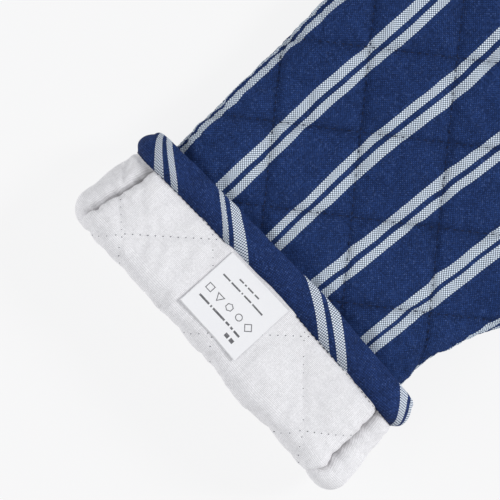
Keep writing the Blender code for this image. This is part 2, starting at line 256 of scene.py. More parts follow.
class Panel:
    """The back's (side 1) or the palm's (side -1) outer face, point by point.

    face: the point on the outer cloth's face; into: the way from it into the panel; cloth: flat
    coordinates on the cloth; edge: distance from the side seam; leg: distance along the turned-back
    cuff, negative before it; fold: 1 on the fold and the turned-back cuff, 0 elsewhere.
    """

    PARTS = ("face", "into", "cloth", "edge", "leg", "fold")

    def __init__(self, side):
        self.side, self.rows, self.faces = side, RIM_ROWS[side], []
        for part in self.PARTS:
            setattr(self, part, [])
        self.wrist = self.add_hand()
        self.add_cuff()
        for part in self.PARTS:
            setattr(self, part, np.array(getattr(self, part), float))
        shift = wander(self.face[:, 0], np.clip(self.leg / TURNED_BACK, 0, 1))
        self.face[:, 1] += smooth(self.fold, 0, 0.5) * shift

    def add(self, face, into, cloth, edge, leg=-99.0, fold=0.0):
        for part, value in zip(self.PARTS, (face, into, cloth, edge, leg, fold)):
            getattr(self, part).append(value)
        return len(self.face) - 1

    def join(self, before, row):
        for i in range(len(row) - 1):
            self.faces.append((before[i], before[i + 1], row[i + 1], row[i]))

    def add_hand(self):
        """Rings in from the outline over the rim, then flat cloth. Returns the row at the wrist."""
        side = self.side
        angles = side * math.pi / 2 * np.linspace(0, 1, self.rows + 1) ** RIM_CROWDING
        offset, height, nx, nz = rim(angles)
        arc = np.concatenate([[0], np.cumsum(np.hypot(np.diff(offset), np.diff(height)))])
        rings = []
        for k in range(self.rows + 1):
            ring = []
            for point, normal in zip(OUTLINE_POINTS, OUTLINE_NORMALS):
                x, y = point + offset[k] * normal
                z = height[k] + (side * SEAM_GAP if k == 0 else 0)
                flat = point + (arc[-1] - arc[k] - RIM_REACH) * normal
                into = (-nx[k] * normal[0], -nx[k] * normal[1], -nz[k])
                ring.append(self.add((x, y, z + seam_plane(y)), into, flat, arc[k]))
            rings.append(ring)
        for outer, inner in zip(rings, rings[1:]):
            self.join(outer, inner)
        middle = self.add_flat(rings[-1])
        self.hand_seam = rings[0]
        return [r[0] for r in rings] + middle + [r[-1] for r in reversed(rings)]

    def add_flat(self, ring):
        """Fills the flat middle of the hand with evenly spaced points. Returns those at the wrist."""
        side, arc = self.side, self.edge[ring[0]]
        inner = OUTLINE_POINTS - RIM_REACH * OUTLINE_NORMALS
        count = round((inner[-1][0] - inner[0][0]) / CELL)
        across = np.linspace(inner[-1][0], inner[0][0], count + 1)[1:-1]
        row = np.column_stack([across, np.full(len(across), WRIST_Y)])
        loop = np.concatenate([inner, row])
        xs = np.arange(inner[:, 0].min(), inner[:, 0].max(), CELL)
        ys = np.arange(WRIST_Y + CELL * 0.8, inner[:, 1].max(), CELL * 0.87)
        grid = np.array([(x + (j % 2) * CELL / 2, y) for j, y in enumerate(ys) for x in xs])
        grid = grid[inside(grid, loop)]
        grid = grid[nearest(grid, inner) > 0.7 * CELL]
        edges = [(i, (i + 1) % len(loop)) for i in range(len(loop))]
        points = [Vector(p) for p in np.concatenate([loop, grid])]
        found = geometry.delaunay_2d_cdt(points, edges, [], 1, 1e-4)
        away = nearest(np.array(found[0]), inner)
        index, given = [], {}
        for (x, y), origins, far in zip(found[0], found[3], away):
            if origins and origins[0] < len(ring):
                index.append(ring[origins[0]])
                continue
            face = (x, y, side * HALF_HEIGHT + seam_plane(y))
            index.append(self.add(face, (0, 0, -side), (x, y), arc + far))
            if origins:
                given[origins[0]] = index[-1]
        self.faces += [tuple(index[v] for v in f) for f in found[2]]
        return [given[len(ring) + k] for k in reversed(range(len(row)))]

    def cuff_row(self, seams, v, fold, leg, inner_y=None):
        """One row across the cuff: at inner_y inside the mitt, or on the fold and what is turned back."""
        side, count = self.side, self.rows
        ends = []
        for hand_side, seam in zip((-1, 1), seams):
            angle = seam + (side * math.pi / 2 - seam) * np.linspace(0, 1, count + 1) ** RIM_CROWDING
            offset, height, nx, nz = rim(angle)
            y, rise, dy, drise = fold_profile(angle, fold, max(0, leg))
            if inner_y is not None:
                y = inner_y + 0 * angle
            x = hand_side * (HALF_WRIST + offset + rise * nx)
            z = height + rise * nz
            z[0] += side * SEAM_GAP
            arc = np.concatenate([[0], np.cumsum(np.hypot(np.diff(x), np.diff(z)))])
            flat = hand_side * (HALF_WRIST - RIM_REACH + arc[-1] - arc)
            into = np.stack([hand_side * drise * nx, dy, drise * nz], 1)
            ends.append([
                self.add((x[k], y[k], z[k] + CUFF_SEAM_HEIGHT), into[k], (flat[k], v), arc[k], leg, fold)
                for k in range(count + 1)
            ])
        left, right = ends[0], ends[1][::-1]
        spans = len(self.wrist) - 2 * count - 1
        start, end = np.array(self.face[left[-1]]), np.array(self.face[right[0]])
        middle = []
        for k in range(1, spans):
            face = start + (end - start) * k / spans
            edge = self.edge[left[-1]] + min(face[0] - start[0], end[0] - face[0])
            middle.append(self.add(face, self.into[left[-1]], (face[0], v), edge, leg, fold))
        return left + middle + right

    def add_cuff(self):
        """Rows from the wrist into the mitt's mouth, round the fold and back to the cuff's edge."""
        rows = [self.wrist]
        inner = np.linspace(WRIST_Y, FOLD_Y, round((WRIST_Y - FOLD_Y) / CELL) + 1)[1:]
        for y in inner:
            rows.append(self.cuff_row((0, 0), y, 0, -99, y))
        arc_steps = 18
        arc = math.pi * (FOLD_RADIUS_TOP + MIDDLE_DEPTH)
        for k in range(1, arc_steps + 1):
            share = k / arc_steps
            bent_in = min(1, share / 0.42) ** 0.8 * (1.45 - 0.45 * share)
            seams = seam_angle(-1, 0) * share, seam_angle(1, 0) * bent_in
            rows.append(self.cuff_row(seams, FOLD_Y - arc * share, share, arc * (share - 1)))
        steps = round(TURNED_BACK / CELL * 1.2)
        for k in range(1, steps + 1):
            along = TURNED_BACK * k / steps
            seams = [seam_angle(s, along) for s in (-1, 1)]
            rows.append(self.cuff_row(seams, FOLD_Y - arc - along, 1, along))
        for before, row in zip(rows, rows[1:]):
            self.join(before, row)
        self.cuff_seams = [[row[end] for row in rows] for end in (0, -1)]


def inside(points, loop):
    """Which points lie inside a closed loop."""
    x, y = points[:, :1], points[:, 1:]
    (ax, ay), (bx, by) = loop.T, np.roll(loop, -1, 0).T
    level = (ay > y) != (by > y)
    rise = np.where(by == ay, 1, by - ay)
    return (level & (x < (bx - ax) * (y - ay) / rise + ax)).sum(1) % 2 == 1


def nearest(points, others):
    """Distance from each point to the nearest of the others."""
    return np.array([np.sqrt(((others - p) ** 2).sum(1).min()) for p in points])


# ---- quilting relief


def quilt_lines(points, lattice):
    """Distance to the nearest line along each side of the squares, and the way along that line."""
    origin, a, b = (np.array(v) for v in lattice)
    inverse = np.linalg.inv(np.stack([a, b], 1))
    shares = (points - origin) @ inverse.T
    area = abs(a[0] * b[1] - a[1] * b[0])
    lines = []
    for along, across, side in ((0, 1, a), (1, 0, b)):
        line = np.round(shares[:, across])
        length = np.linalg.norm(side)
        lines.append((np.abs(shares[:, across] - line) * area / length, shares[:, along] * length, line))
    return lines


def quilt_distance(points, lattice):
    """Distance to the nearest quilting line."""
    return np.minimum(*(line[0] for line in quilt_lines(points, lattice)))


def puckers(points, lattice):
    """Small wrinkles that run out from the stitches into the cloth."""
    total = 0
    for k, (distance, along, line) in enumerate(quilt_lines(points, lattice)):
        at = np.column_stack([along, distance * 0.25, line * 41 + 300 * k])
        reach = np.exp(-distance / 5.5) * (1 - np.exp(-distance / 0.9))
        total = total + reach * (noise_at(at, 5.2, 12) + 0.5 * noise_at(at, 3.1, 13))
    return total


def pinch(panel):
    """1 where a line of stitches holds the layers together, falling to 0 beside it."""
    body = quilt_distance(panel.cloth, BODY_QUILT)
    cuff = quilt_distance(panel.cloth, CUFF_QUILT)
    share = smooth(-panel.cloth[:, 1], 0, 20)
    quilt = (1 - share) * np.exp(-body / QUILT_FALL) + share * 0.8 * np.exp(-cuff / QUILT_FALL)
    seam = np.exp(-((panel.edge / 4.5) ** 1.3))
    bound = np.exp(-np.abs(panel.leg - BINDING_START + 0.4) / 2.2)
    under_binding = 0.5 * smooth(panel.leg, BINDING_START - 1, BINDING_START + 1)
    return np.maximum.reduce([quilt, seam, bound, under_binding])


def lumps(panel):
    """Uneven swelling of the whole panel, outwards on the cloth's side that shows."""
    at = np.column_stack([panel.cloth, np.full(len(panel.cloth), 31.0 * panel.side)])
    coarse, middle, fine = (noise_at(at, size, seed) for size, seed in ((34, 1), (13, 2), (5, 3)))
    bump = 0.75 * coarse + 0.42 * middle + 0.16 * fine
    on_cuff = smooth(-panel.cloth[:, 1], 0, 20)
    bump += 0.75 * (1 - on_cuff) * puckers(panel.cloth, BODY_QUILT)
    bump += 0.55 * on_cuff * puckers(panel.cloth, CUFF_QUILT)
    pressed = smooth(panel.cloth[:, 1], 44, 33) * smooth(panel.cloth[:, 1], -20, -8)
    bound = smooth(panel.leg, BINDING_START - 4, BINDING_START)
    turned = smooth(panel.fold, 0, 0.3) * (1 - smooth(panel.leg, -2, 5))
    held = smooth(panel.edge, 0, 14)
    return held * (bump * (1 - 0.75 * pressed) * (1 - 0.6 * bound) * (1 - 0.6 * turned) - 0.3 * pressed)


def under_label(panel):
    """1 under the sewn label, where the lining is pressed flat."""
    if panel.side < 0:
        return np.zeros(len(panel.face))
    x = np.abs(panel.cloth[:, 0] - LABEL_CENTRE_X) - LABEL_WIDTH / 2
    y = np.abs(panel.leg - (LABEL_TOP_AT - LABEL_LENGTH / 2)) - LABEL_LENGTH / 2
    return (1 - smooth(x, 0, 6)) * (1 - smooth(y, 0, 5))


def valley(panel):
    """How deep the side seam of the turned-back cuff is drawn in, with gathered tucks beside it."""
    on_leg = smooth(panel.fold, 0.3, 0.9) * (1 - smooth(panel.leg, BINDING_START - 2, BINDING_START + 6))
    groove = GROOVE_DEPTH * np.exp(-panel.edge / GROOVE_WIDTH)
    if panel.side < 0:
        groove += 0.25 * np.exp(-panel.edge / 6.0)
    else:
        groove -= 0.4 * np.exp(-(((panel.edge - 4.5) / 2.8) ** 2))
    gathers = 0.2 * np.sin(panel.leg * 1.15 + 1.5 * np.sin(panel.leg / 4)) * np.exp(-panel.edge / 4.5)
    at, spacing, size = (np.where(panel.face[:, 0] > 0, *pair) for pair in zip(RIGHT_TUCKS, LEFT_TUCKS))
    place = 0.5 + 0.5 * np.cos((panel.leg - at) / spacing * 2 * math.pi)
    return on_leg * (groove + size * place ** 6 * np.exp(-panel.edge / 3.0) + gathers)


def crease_shadow(panel):
    """How dark the lining lies in its side crease on the turned-back cuff."""
    on_leg = smooth(panel.fold, 0.5, 1) * (1 - smooth(panel.leg, BINDING_START - 1, BINDING_START + 2))
    uneven = 0.6 + 0.4 * np.sin(panel.leg / 3.1) * np.sin(panel.leg / 1.3 + 1)
    return on_leg * uneven * np.exp(-panel.edge / (0.8 if panel.side > 0 else 1.1))


class Relief:
    """Depth of any layer of a panel, given its nominal depth."""

    def __init__(self, panel):
        flat = under_label(panel)
        self.share = FLAT + (PUFF - FLAT) * (1 - pinch(panel))
        self.share += flat * (1 - self.share)
        outwards = 1 - 2 * smooth(panel.fold, 0.2, 0.8)
        self.offset = -outwards * lumps(panel) * (1 - flat) - valley(panel)
        self.rest_on_table(panel, 0.0, 1)
        self.rest_on_table(panel, PANEL_DEPTH, -1)

    def rest_on_table(self, panel, nominal, way):
        """Pushes the panel up where the layer at this depth would sink into the table."""
        slope = panel.into[:, 2] * way
        height = panel.face[:, 2] + panel.into[:, 2] * self.depth(nominal)
        sunk = np.where(slope > 0.3, np.maximum(0, TABLE_CLEARANCE - height), 0)
        self.offset += way * sunk / np.maximum(slope, 0.3)

    def depth(self, nominal):
        return MIDDLE_DEPTH + (nominal - MIDDLE_DEPTH) * self.share + self.offset


# ---- cloth simulation


def simulated(points, faces, held):
    """How far cloth moves when the fill presses on it. held is 1 where stitches hold the cloth."""
    data = bpy.data.meshes.new("cloth_at_rest")
    data.from_pydata(((points + PLACE) * MM).tolist(), [], faces)
    obj = place_in_scene("cloth_at_rest", data)
    group = obj.vertex_groups.new(name="stitched")
    for i, weight in enumerate(held):
        if weight > 0.02:
            group.add([i], float(weight), "REPLACE")
    cloth = obj.modifiers.new("cloth", "CLOTH")
    settings = cloth.settings
    settings.vertex_group_mass = "stitched"
    settings.use_pressure = True
    settings.effector_weights.gravity = 0
    for setting, value in CLOTH_SETTINGS.items():
        setattr(settings, setting, value)
    cloth.point_cache.frame_end = SIMULATED_FRAMES
    for k in range(1, SIMULATED_FRAMES + 1):
        bpy.context.scene.frame_set(k)
    shown = obj.evaluated_get(bpy.context.evaluated_depsgraph_get())
    moved = np.empty(len(data.vertices) * 3)
    shown.data.vertices.foreach_get("co", moved)
    moved = moved.reshape(-1, 3) / MM - PLACE - points
    bpy.context.scene.frame_set(1)
    bpy.data.objects.remove(obj)
    size = np.linalg.norm(moved, axis=1, keepdims=True)
    return moved * np.tanh(size / LARGEST_MOVE) * LARGEST_MOVE / np.maximum(size, 1e-6)


def billow(panel, relief, depth, outwards, used, lattice):
    """Movement of one cloth of a panel under the fill's pressure, held by the quilting and the seams.

    outwards is 1 for the outer cloth and -1 for the lining. used marks the points that move.
    """
    moved = np.zeros(panel.face.shape)
    number = np.cumsum(used) - 1
    faces = [tuple(int(number[v]) for v in f)[::outwards] for f in panel.faces if used[list(f)].all()]
    border = np.zeros(number[-1] + 1)
    border[[a for a, _ in border_of(faces)]] = 1
    stitched = np.exp(-((quilt_distance(panel.cloth, lattice) / LINE_HELD) ** 2))
    seam = np.exp(-((panel.edge / SEAM_HELD[outwards]) ** 2))
    bound = smooth(panel.leg, BINDING_START - 3, BINDING_START - 1)
    held = np.maximum.reduce([stitched, seam, bound, under_label(panel)])
    points = panel.face + panel.into * relief.depth(depth)[:, None]
    moved[used] = simulated(points[used], faces, np.maximum(held[used], border))
    return moved


# ---- meshes


def place_in_scene(name, data):
    obj = bpy.data.objects.new(name, data)
    bpy.context.scene.collection.objects.link(obj)
    return obj


def grid_faces(rows, count, closed=False):
    """Quads between rows of this many points each. closed joins each row's end to its start."""
    quads = []
    for start in range(0, (rows - 1) * count, count):
        for c in range(count if closed else count - 1):
            d = (c + 1) % count
            quads.append((start + c, start + d, start + count + d, start + count + c))
    return quads


def make_object(name, points, faces, material, cloth, drawn_and_painted_shade=None):
    """A mesh object from points in the layout's millimetres.

    cloth holds the cloth's own coordinates. The last argument, from 0 to 1, is how far stitches draw the
    cloth in, or how deep it lies in a side crease;
    it goes into the "relief" UV layer, where the materials darken the colour by it as painted shade.
    """
    data = bpy.data.meshes.new(name)
    points = (np.asarray(points, float) + PLACE) * MM
    data.from_pydata(points.tolist(), [], faces)
    corner = np.empty(len(data.loops), dtype=np.int32)
    data.loops.foreach_get("vertex_index", corner)
    layers = {"cloth": np.asarray(cloth, dtype=np.float32)}
    # painted shade: the materials darken the colour by this, near stitches and seams and in the side creases
    if drawn_and_painted_shade is not None:
        layers["relief"] = np.column_stack([drawn_and_painted_shade, drawn_and_painted_shade]).astype(np.float32)
    for layer, values in layers.items():
        data.uv_layers.new(name=layer).data.foreach_set("uv", values[corner].ravel())
    data.validate()
    data.shade_smooth()
    data.materials.append(material)
    return place_in_scene(name, data)


def border_of(faces):
    """Directed edges that only one face uses."""
    edges = {}
    for face in faces:
        for i, start in enumerate(face):
            end = face[(i + 1) % len(face)]
            edges[start, end] = edges.get((start, end), 0) + 1
    return [(a, b) for a, b in edges if (b, a) not in edges]


def shell(name, top, bottom, faces, cloth, material, drawn_and_painted_shade=None):
    """A closed skin between two matching surfaces, top the outer one. cloth is for one or for both."""
    count = len(top)
    centre = np.asarray(top)[list(faces[0])]
    normal = np.cross(centre[1] - centre[0], centre[2] - centre[0])
    if normal @ (np.asarray(top)[faces[0][0]] - np.asarray(bottom)[faces[0][0]]) < 0:
        faces = [f[::-1] for f in faces]
    under = [tuple(v + count for v in f[::-1]) for f in faces]
    rim_faces = [(b, a, a + count, b + count) for a, b in border_of(faces)]
    points = np.concatenate([top, bottom])
    if drawn_and_painted_shade is not None:
        drawn_and_painted_shade = np.concatenate([drawn_and_painted_shade, drawn_and_painted_shade])
    if len(cloth) == count:
        cloth = np.concatenate([cloth, cloth])
    return make_object(name, points, list(faces) + under + rim_faces, material, cloth, drawn_and_painted_shade)


def consistent(panel):
    """Turns the panel's faces so that all of them look out of the mitt."""
    turned = []
    for face in panel.faces:
        a, b, c, d = (panel.face[v] for v in (face[0], face[1], face[2], face[-1]))
        normal = np.cross(b - a, c - a) + np.cross(c - a, d - a)
        out = -panel.into[list(face)].sum(0)
        turned.append(face if normal @ out > 0 else face[::-1])
    return turned


def layer(name, panel, relief, depth, thickness, cloth, material, drawn_and_painted_shade=None, moved=0):
    """One layer of a panel. depth is its middle's nominal depth, and moved the billowing of its cloth."""
    middle = relief.depth(depth)
    top = panel.face + panel.into * (middle - thickness / 2)[:, None] + moved
    bottom = panel.face + panel.into * (middle + thickness / 2)[:, None] + moved
    sunk = np.maximum(0, TABLE_CLEARANCE / 2 - np.minimum(top[:, 2], bottom[:, 2]))
    top[:, 2] += sunk
    bottom[:, 2] += sunk
    # unless given, painted shade along the quilting lines
    if drawn_and_painted_shade is None:
        drawn_and_painted_shade = np.exp(-quilt_distance(panel.cloth, BODY_QUILT) / 1.3)
    return shell(name, top, bottom, panel.faces, cloth, material, drawn_and_painted_shade)


def striped(panel):
    """Cloth coordinates in which the stripe pairs lie STRIPE_PITCH apart, starting at 0."""
    u, v = panel.cloth[:, 0], panel.cloth[:, 1]
    at = np.column_stack([panel.cloth, np.full(len(u), 7.0)])
    drawn_and_painted_shade = np.exp(-quilt_distance(panel.cloth, BODY_QUILT) / 3)
    wobble = 0.4 * noise_at(at, 24, 5) + (0.15 + 1.1 * drawn_and_painted_shade) * noise_at(at, 9, 6)
    if panel.side < 0:
        return np.column_stack([u + wobble + 17.0, v])
    starts = np.array(STRIPE_STARTS)
    row = np.interp(v, STRIPE_ROWS, range(len(STRIPE_ROWS)))
    low = np.minimum(row.astype(int), len(STRIPE_ROWS) - 2)
    at_row = starts[low] + (starts[low + 1] - starts[low]) * (row - low)[:, None]
    marks = STRIPE_PITCH * (np.arange(starts.shape[1]) - 3)
    across = np.array([interpolate(x, xs, marks) for x, xs in zip(u + wobble, at_row)])
    return np.column_stack([across, v])


def interpolate(x, xs, values):
    """Straight-line interpolation that goes on at the ends with the end spans' slopes."""
    i = int(np.clip(np.searchsorted(xs, x) - 1, 0, len(xs) - 2))
    return values[i] + (values[i + 1] - values[i]) * (x - xs[i]) / (xs[i + 1] - xs[i])


# ---- materials


class Value:
    """An output in a material's nodes, with ordinary arithmetic."""

    def __init__(self, shader, socket):
        self.shader, self.socket = shader, socket

    def __add__(self, other):
        return self.shader.math("ADD", self, other)

    def __mul__(self, other):
        return self.shader.math("MULTIPLY", self, other)

    def __sub__(self, other):
        return self.shader.math("SUBTRACT", self, other)

    def __rsub__(self, other):
        return self.shader.math("SUBTRACT", other, self)

    def __truediv__(self, other):
        return self.shader.math("DIVIDE", self, other)

    __radd__, __rmul__ = __add__, __mul__


class Shader:
    """Short ways to build a material's nodes."""

    def __init__(self, name, roughness, sheen=0.0, specular=0.25):
        self.material = bpy.data.materials.new(name)
        self.material.use_nodes = True
        self.tree = self.material.node_tree
        self.shader = self.tree.nodes["Principled BSDF"]
        self.put("Roughness", roughness)
        self.put("Specular IOR Level", specular)
        self.put("Sheen Weight", sheen)

    def put(self, socket, value, node=None):
        """Sets or links an input, of the Principled BSDF unless another node is given."""
        socket = (self.shader if node is None else node).inputs[socket]
        if isinstance(value, Value):
            self.tree.links.new(value.socket, socket)
        else:
            socket.default_value = value

    def node(self, kind, inputs, output=0, **settings):
        node = self.tree.nodes.new("ShaderNode" + kind)
        for name, value in settings.items():
            setattr(node, name, value)
        for socket, value in inputs.items():
            self.put(socket, value, node)
        return Value(self, node.outputs[output])

    def math(self, operation, *values):
        return self.node("Math", dict(enumerate(values)), operation=operation)

    def cloth(self, layer="cloth"):
        """The cloth's own coordinates, in millimetres, as (across, along)."""
        uv = self.node("UVMap", {}, uv_map=layer)
        return [self.node("SeparateXYZ", {0: uv}, k) for k in (0, 1)]

    def vector(self, x, y, z=0.0):
        return self.node("CombineXYZ", {0: x, 1: y, 2: z})

    def noise(self, vector, scale, detail=2.0, roughness=0.5):
        inputs = {"Vector": vector, "Scale": scale, "Detail": detail, "Roughness": roughness}
        return self.node("TexNoise", inputs)

    def white(self, x, y, z):
        """An even random number for each whole (x, y)."""
        return self.node("TexWhiteNoise", {"Vector": self.vector(x, y, z)}, noise_dimensions="3D")

    def mix(self, share, a, b, blend="MIX"):
        return self.node("Mix", {0: share, 6: a, 7: b}, 2, data_type="RGBA", blend_type=blend)

    def shaded(self, colour, tone):
        return self.mix(1.0, colour, self.vector(tone, tone, tone), "MULTIPLY")

    def step(self, value, low, high):
        """0 below low, 1 above high, straight between."""
        return self.node("MapRange", {"Value": value, "From Min": low, "From Max": high})

    def bump(self, height, distance, strength):
        inputs = {"Height": height, "Distance": distance, "Strength": strength}
        self.put("Normal", self.node("Bump", inputs))


def plain_weave(s, u, v, pitch):
    """Threads of a plain weave: (1 where the thread along v is on top, height, u and v thread number)."""
    places = u / pitch, v / pitch
    i, j = (s.math("FLOOR", place) for place in places)
    over = s.math("FLOORED_MODULO", i + j, 2.0)
    round_u, round_v = (s.math("SINE", s.math("FRACT", place) * math.pi) for place in places)
    return over, s.math("SQRT", round_u * round_v), i, j


def striped_cloth(name, navy, pale):
    """Navy plain weave with pairs of pale stripes: white threads along, navy threads across. Painted shade
    darkens the colour between and under the threads and along the stitched lines and seams, and the pale
    threads get a painted highlight on their crowns.
    """
    s = Shader(name, 0.9, specular=0.12)
    u, v = s.cloth()
    over, height, i, j = plain_weave(s, u, v, THREAD_PITCH)
    place = s.math("FLOORED_MODULO", i * THREAD_PITCH, STRIPE_PITCH)
    first = s.math("COMPARE", place, STRIPE / 2, STRIPE / 2)
    second = s.math("COMPARE", place, STRIPE * 1.5 + STRIPE_GAP, STRIPE / 2)
    white_share = s.math("MAXIMUM", first, second) * s.math("MAXIMUM", over, WEFT_PALENESS)
    cell, warp, weft = s.white(i, j, 1.0), s.white(i, 0.0, 5.0), s.white(0.0, j, 9.0)
    slub = s.noise(s.vector(u * 0.22, v * 2.1), 1.0)
    patch = s.noise(s.vector(u, v), 0.09)
    tone = 0.45 + cell * 0.6 + warp * 0.14 + weft * 0.14 + slub * 0.22 + (patch - 0.3) * 0.5
    # painted shade of the weave: darker between the threads and where a thread lies under, lighter on the
    # crowns
    tone = tone * (over * 0.5 + (0.2 + height * 0.75))
    fleck = s.math("GREATER_THAN", s.white(i, j, 3.0), 0.9)
    dark = s.shaded(s.mix(fleck * 0.22, navy, FLECK), tone)
    # painted highlight on the crowns of the pale threads, painted shade at their sides
    light = s.shaded(pale, 0.86 + height * 0.2)
    # painted shade near stitches and seams, from the "relief" UV layer
    painted_shade = s.cloth("relief")[0]
    s.put("Base Color", s.shaded(s.mix(white_share, dark, light), 1.0 - painted_shade * 0.3))
    s.bump(height + slub * 0.5, 0.00012, 0.7)
    return s.material


def white_cloth(name, colour):
    """Fine white plain weave with painted shade in the small holes between the threads and a painted shadow
    in the side creases.
    """
    s = Shader(name, 0.9, sheen=0.15)
    u, v = s.cloth()
    height, i, j = plain_weave(s, u, v, LINING_PITCH)[1:]
    cell, warp, weft = s.white(i, j, 2.0), s.white(i, 0.0, 4.0), s.white(0.0, j, 6.0)
    patch = s.noise(s.vector(u, v), 0.07, 3.0)
    tone = 0.88 + cell * 0.11 + warp * 0.035 + weft * 0.035 + patch * 0.04
    # painted shade in the holes between the threads
    tone = tone * (0.5 + s.step(height, 0.05, 0.5) * 0.5)
    # painted shadow in the side creases, from the "relief" UV layer, mixed towards a dark brownish grey
    painted_crease_shadow = s.cloth("relief")[0] * 0.85
    s.put("Base Color", s.mix(painted_crease_shadow, s.shaded(colour, tone), (0.12, 0.1, 0.1, 1)))
    s.bump(height + cell * 0.3, 0.0001, 0.6)
    return s.material


def batting_fill(name):
    s = Shader(name, 1.0, sheen=0.2)
    fibres = s.noise(s.vector(*s.cloth()), 0.8, 6.0, 0.7)
    s.put("Base Color", s.mix(fibres, (0.72, 0.7, 0.66, 1), (0.9, 0.89, 0.86, 1)))
    s.bump(fibres, 0.0006, 0.8)
    return s.material


def thread(name, colour):
    """Twisted sewing thread, with painted shade in the grooves of its twist. The stitches carry (along,
    round) as their cloth coordinates.
    """
    s = Shader(name, 0.85, sheen=0.05)
    u, v = s.cloth()
    twist = s.math("SINE", (u + v) * 14.0)
    # painted shade in the grooves of the twist
    s.put("Base Color", s.shaded(colour, 0.85 + twist * 0.15))
    s.bump(twist, 0.00004, 0.6)
    return s.material


def label_print(s, x, y):
    """1 where the label is printed: short plain bars, and a row of plain outlines."""
    shapes = []

    def bars(left, centre_y, lengths, height):
        for length in lengths:
            dx = s.math("ABSOLUTE", x - (left + length / 2)) - length / 2
            dy = s.math("ABSOLUTE", y - centre_y) - height / 2
            shapes.append(s.math("LESS_THAN", s.math("MAXIMUM", dx, dy), 0.0))
            left += length + 0.9

    def polygon(centre_x, centre_y, sides, radius, turn, line=0.42):
        """The outline of a regular polygon, or of a circle when it has many sides."""
        furthest = None
        for k in range(sides):
            heading = turn + 2 * math.pi * k / sides
            reach = (x - centre_x) * math.cos(heading) + (y - centre_y) * math.sin(heading)
            furthest = reach if furthest is None else s.math("MAXIMUM", furthest, reach)
        shapes.append(s.math("COMPARE", furthest, radius - line / 2, line / 2))

    bars(11.2, 6.4, (2.6, 1.0, 3.4, 2.6), 0.75)
    bars(4.6, 10.2, (4.4, 5.6, 0.7, 4.4, 6.6), 0.8)
    for k, (sides, turn) in enumerate(((4, 0), (3, -math.pi / 2), (6, 0), (14, 0), (4, math.pi / 4))):
        polygon(5.0 + 6.2 * k, 18.8, sides, 1.3 if sides == 3 else 1.75, turn)
    bars(4.0, 24.6, (6.2, 0.8, 7.4, 2.2, 1.4, 3.6), 1.05)
    bars(24.8, 28.4, (2.2, 2.2), 1.9)
    total = shapes[0]
    for shape in shapes[1:]:
        total = s.math("MAXIMUM", total, shape)
    return total


def label_ribbon(name):
    """Woven satin ribbon with plain printed marks."""
    s = Shader(name, 0.5, sheen=0.1)
    u, v = s.cloth()
    ribs = s.math("SINE", v * (2 * math.pi / 0.25))
    fibres = s.noise(s.vector(u * 0.6, v * 5.0), 1.0, 3.0)
    ink = label_print(s, u, v) * s.step(fibres, 0.2, 0.42)
    ground = s.mix(fibres, (0.84, 0.845, 0.87, 1), (0.93, 0.93, 0.95, 1))
    s.put("Base Color", s.mix(ink * 0.88, ground, (0.03, 0.03, 0.04, 1)))
    s.bump(ribs + fibres, 0.00002, 0.5)
    return s.material


# ---- pieces


def finish_piece(obj, nodes, body="mitt"):
    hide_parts(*nodes)
    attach(obj, body)


def tree_of(obj):
    """Finds places on a finished piece, in the layout's millimetres."""
    points = np.array([v.co for v in obj.data.vertices]) / MM - PLACE
    return BVHTree.FromPolygons(points.tolist(), [tuple(p.vertices) for p in obj.data.polygons])


class Stitches:
    """Many short stitches, gathered into one mesh."""

    ROUND = 6
    RINGS = (0.0, 0.55, 0.9, 1.0, 0.9, 0.55, 0.0)

    def __init__(self):
        self.points, self.faces, self.cloth = [], [], []

    def add(self, centre, along, normal, length, width):
        """A rounded bead of thread with its ends turned down into the cloth."""
        along = (along - normal * along.dot(normal)).normalized()
        across = normal.cross(along)
        start, last = len(self.points), len(self.RINGS) - 1
        for k, share in enumerate(self.RINGS):
            at = (k / last - 0.5) * length
            dip = width * 0.5 * (2 * k / last - 1) ** 2
            middle = centre + along * at - normal * dip
            for i in range(self.ROUND if share else 1):
                turn = 2 * math.pi * i / self.ROUND
                ray = across * math.cos(turn) + normal * math.sin(turn)
                self.points.append(middle + ray * width / 2 * share)
                self.cloth.append((at, turn * width / 2))
        count, end = self.ROUND, len(self.points) - 1
        for quad in grid_faces(last - 1, count, closed=True):
            self.faces.append(tuple(start + 1 + v for v in quad))
        for i in range(count):
            j = (i + 1) % count
            self.faces.append((start, start + 1 + j, start + 1 + i))
            self.faces.append((end - count + i, end - count + j, end))

    def build(self, name, material):
        return make_object(name, self.points, self.faces, material, self.cloth)


def quilt_places(lattice, x_range, y_range):
    """(place, direction) of every stitch on a lattice's lines within a rectangle."""
    origin, a, b = (Vector(v) for v in lattice)
    for line, step in ((a, b), (b, a)):
        direction = line.normalized()
        for k in range(-9, 10):
            start = origin + step * k
            for n in range(-110, 111):
                at = start + direction * STITCH * (n + 0.5)
                if x_range[0] < at.x < x_range[1] and y_range[0] < at.y < y_range[1]:
                    yield at, direction


def hit(tree, x, y, side):
    """(place, normal) on a piece's top, or on its underside for side -1, or None."""
    above = Vector((0, 0, side * 100.0))
    place, normal = tree.ray_cast(Vector((x, y, 0)) + above, -above)[:2]
    return None if place is None else (place, normal)


def quilt_stitches(name, side, outer, lining, material):
    """Stitches on the hand's cloth, and the dots they make on the turned-back lining."""
    stitches = Stitches()
    for at, direction in quilt_places(BODY_QUILT, (-90, 130), (EDGE_Y - 2, TIP_Y)):
        if edge_distance(at) < 5.0:
            continue
        found = hit(outer, at.x, at.y, side)
        if found and found[1].z * side > 0.3:
            stitches.add(found[0] + found[1] * 0.02, direction.to_3d(), found[1], *BODY_STITCH)
    for at, direction in quilt_places(CUFF_QUILT, (-100, 100), (-160, -30)):
        found = lining_place(side, at, lining)
        if found:
            stitches.add(found[0] + found[1] * 0.02, Vector((1, 1, 0)), found[1], *LINING_DOT)
    return stitches.build(name, material)


